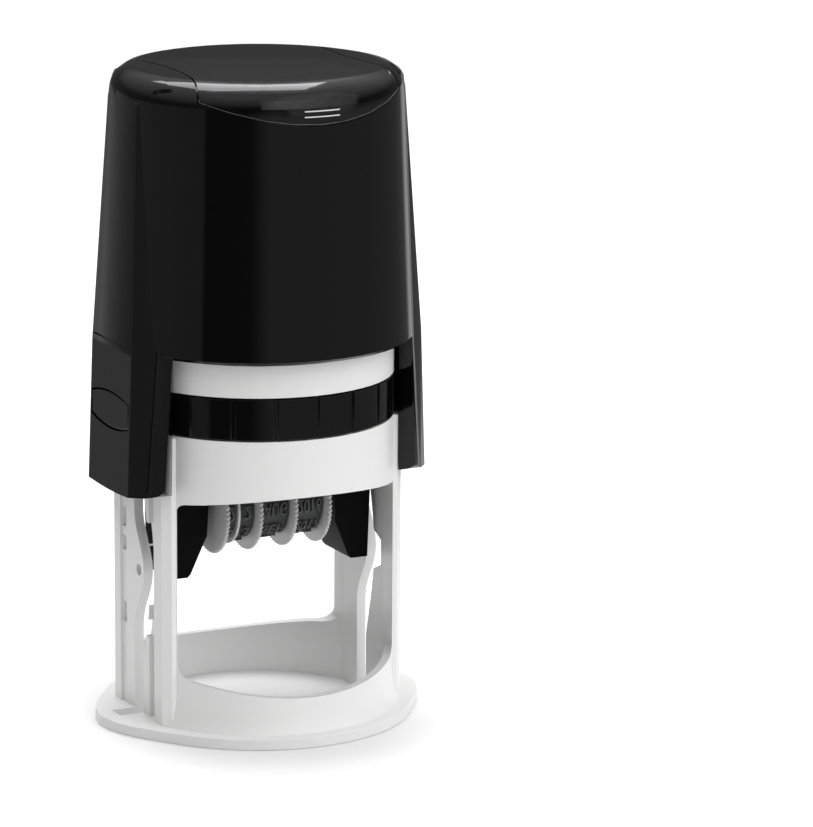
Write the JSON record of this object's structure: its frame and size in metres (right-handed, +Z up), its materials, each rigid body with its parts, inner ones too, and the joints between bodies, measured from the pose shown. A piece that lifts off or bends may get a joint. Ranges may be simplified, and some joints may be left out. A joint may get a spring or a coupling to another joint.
{
  "type": "self-inking date and time stamp",
  "caption": "Upright self-inking stamp: round frame with a window, press cap with two legs, flipping date and hour dies, sliding ink cassette.",
  "frame": {"origin": "on the ground in the middle of the foot", "axes": "+Z up along the press stroke, -Y the front, where the ink cassette slides out, +X the object's right seen from behind the camera"},
  "size_m": [0.0628, 0.057, 0.1209],
  "materials": {
    "white_plastic": "semi-gloss white moulded plastic",
    "black_plastic": "gloss black moulded plastic",
    "smoky_clear": "dark smoky clear plastic, glossy",
    "card": "blank dark card",
    "rubber_feet": "dark rubber",
    "steel": "plain steel wire and rod",
    "felt": "ink felt, matt",
    "red_plastic": "red moulded plastic",
    "die_rubber": "blue-grey type rubber",
    "dark_plastic": "dark plastic, satin",
    "pale_rubber": "pale rubber",
    "wheel_plastic": "light grey plastic, satin",
    "band_rubber": "blue-grey type rubber"
  },
  "bodies": {
    "frame": {"base_frame": "white_plastic", "foot_pad_1": "rubber_feet", "foot_pad_2": "rubber_feet", "foot_pad_3": "rubber_feet", "foot_pad_4": "rubber_feet", "return_spring": "steel"},
    "cap": {"cap_shell": "black_plastic", "index_card": "card", "pivot_pin_left": "black_plastic", "pivot_pin_right": "black_plastic"},
    "cover": {"index_cover": "smoky_clear"},
    "lock_left": {"lock_button_left": "black_plastic"},
    "lock_right": {"lock_button_right": "black_plastic"},
    "pad": {"pad_tray": "black_plastic", "ink_felt": "felt"},
    "carrier": {"plate_carrier": "black_plastic", "crank_left": "black_plastic", "crank_right": "black_plastic", "wheel_axle": "steel", "end_disc": "wheel_plastic", "band_platen": "dark_plastic", "face_plate": "dark_plastic", "arrow_plate": "pale_rubber", "date_band_tens": "band_rubber", "date_band_units": "band_rubber", "date_band_month": "band_rubber", "date_band_year": "band_rubber"},
    "time": {"time_ring": "red_plastic", "time_die": "die_rubber"},
    "dial_tens": {"wheel_tens": "wheel_plastic"},
    "dial_units": {"wheel_units": "wheel_plastic"},
    "dial_month": {"wheel_month": "wheel_plastic"},
    "dial_year": {"wheel_year": "wheel_plastic"}
  },
  "joints": [
    {"name": "press", "type": "slide", "parent": "frame", "child": "cap", "axis": [0, 0, -1], "range_m": [0, 0.0404], "stiffness_N_per_m": 400, "springref_m": -0.0085, "deforming": ["return_spring"]},
    {"name": "flip", "type": "hinge", "parent": "cap", "child": "carrier", "pos_m": [0, 0, 0.0489], "axis": [1, 0, 0], "range_deg": [-180, 0]},
    {"name": "pad_slide", "type": "slide", "parent": "frame", "child": "pad", "axis": [0, -1, 0], "range_m": [0, 0.055]},
    {"name": "cover_lift", "type": "slide", "parent": "cap", "child": "cover", "axis": [0, 0, 1], "range_m": [0, 0.02]},
    {"name": "lock_right_push", "type": "slide", "parent": "cap", "child": "lock_right", "axis": [-1, 0, 0], "range_m": [0, 0.0009], "stiffness_N_per_m": 1000, "springref_m": -0.001},
    {"name": "lock_left_push", "type": "slide", "parent": "cap", "child": "lock_left", "axis": [1, 0, 0], "range_m": [0, 0.0009], "stiffness_N_per_m": 1000, "springref_m": -0.001},
    {"name": "time_turn", "type": "hinge", "parent": "carrier", "child": "time", "pos_m": [0, 0, 0.0489], "axis": [0, 0, 1], "continuous": true},
    {"name": "tens_turn", "type": "hinge", "parent": "carrier", "child": "dial_tens", "pos_m": [-0.0107, -0.0025, 0.0396], "axis": [1, 0, 0], "continuous": true},
    {"name": "units_turn", "type": "hinge", "parent": "carrier", "child": "dial_units", "pos_m": [-0.004, -0.0025, 0.0396], "axis": [1, 0, 0], "continuous": true},
    {"name": "month_turn", "type": "hinge", "parent": "carrier", "child": "dial_month", "pos_m": [0.003, -0.0025, 0.0396], "axis": [1, 0, 0], "continuous": true},
    {"name": "year_turn", "type": "hinge", "parent": "carrier", "child": "dial_year", "pos_m": [0.0098, -0.0025, 0.0396], "axis": [1, 0, 0], "continuous": true}
  ],
  "couplings": [
    {"joint": "flip", "follows": "press", "rad_per_m": -77.76}
  ]
}
